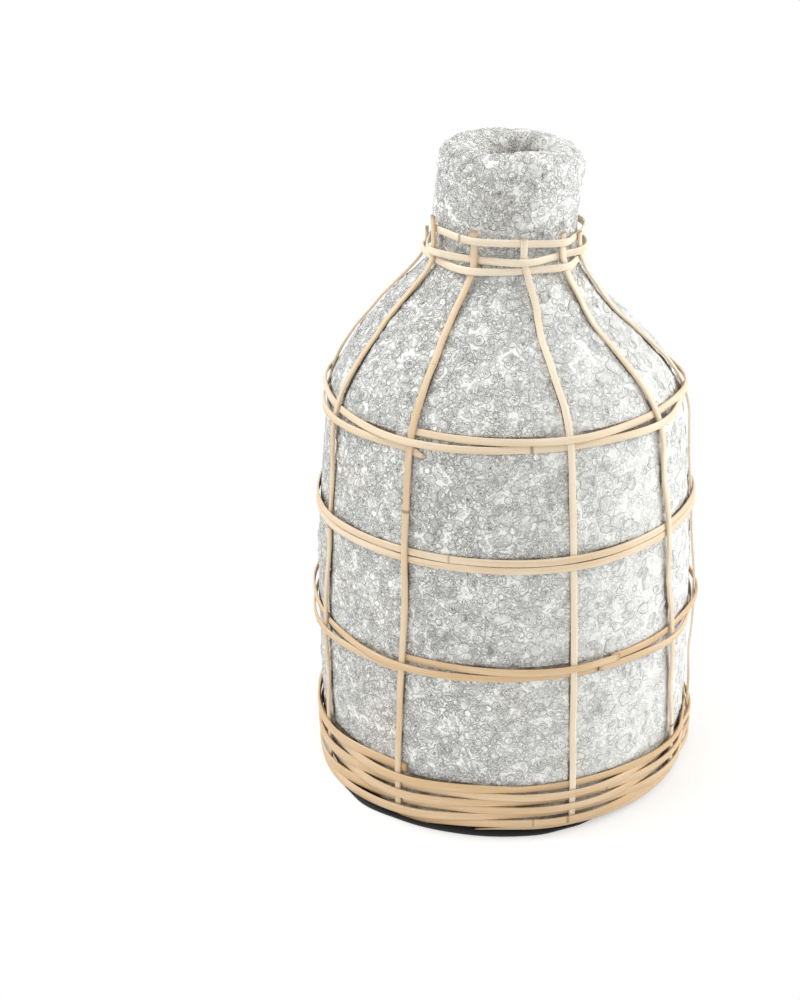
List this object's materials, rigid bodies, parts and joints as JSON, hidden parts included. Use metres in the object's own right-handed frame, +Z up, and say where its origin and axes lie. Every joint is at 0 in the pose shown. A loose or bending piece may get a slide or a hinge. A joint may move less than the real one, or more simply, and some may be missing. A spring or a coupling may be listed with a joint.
{
  "type": "rattan wrapped vase",
  "caption": "Bottle-shaped terracotta vase with a rough pale coating, held in a hand-woven cage of split rattan on a thin black pad.",
  "frame": {"origin": "centre of the black pad's lower face, on the floor and on the axis of the vase", "axes": "+Z up along the axis of the vase, from the foot to the mouth; -Y is the front of the picture, between the second and third staves; +X is to its right"},
  "size_m": [0.1804, 0.1799, 0.2928],
  "materials": {
    "clay": "rough unglazed coating, matte",
    "pad": "matte black",
    "stave_cane": "natural rattan, satin",
    "weaver_cane": "natural split rattan, satin"
  },
  "bodies": {
    "root": {"vase_body": "clay", "base_pad": "pad", "stave_1": "stave_cane", "stave_2": "stave_cane", "stave_3": "stave_cane", "stave_4": "stave_cane", "stave_5": "stave_cane", "stave_6": "stave_cane", "stave_7": "stave_cane", "stave_8": "stave_cane", "stave_9": "stave_cane", "base_weaver_1": "weaver_cane", "base_weaver_2": "weaver_cane", "lower_weaver_1": "weaver_cane", "lower_weaver_2": "weaver_cane", "lower_weaver_3": "weaver_cane", "waist_weaver_1": "weaver_cane", "waist_weaver_2": "weaver_cane", "upper_weaver": "weaver_cane", "neck_weaver": "weaver_cane"}
  },
  "joints": []
}
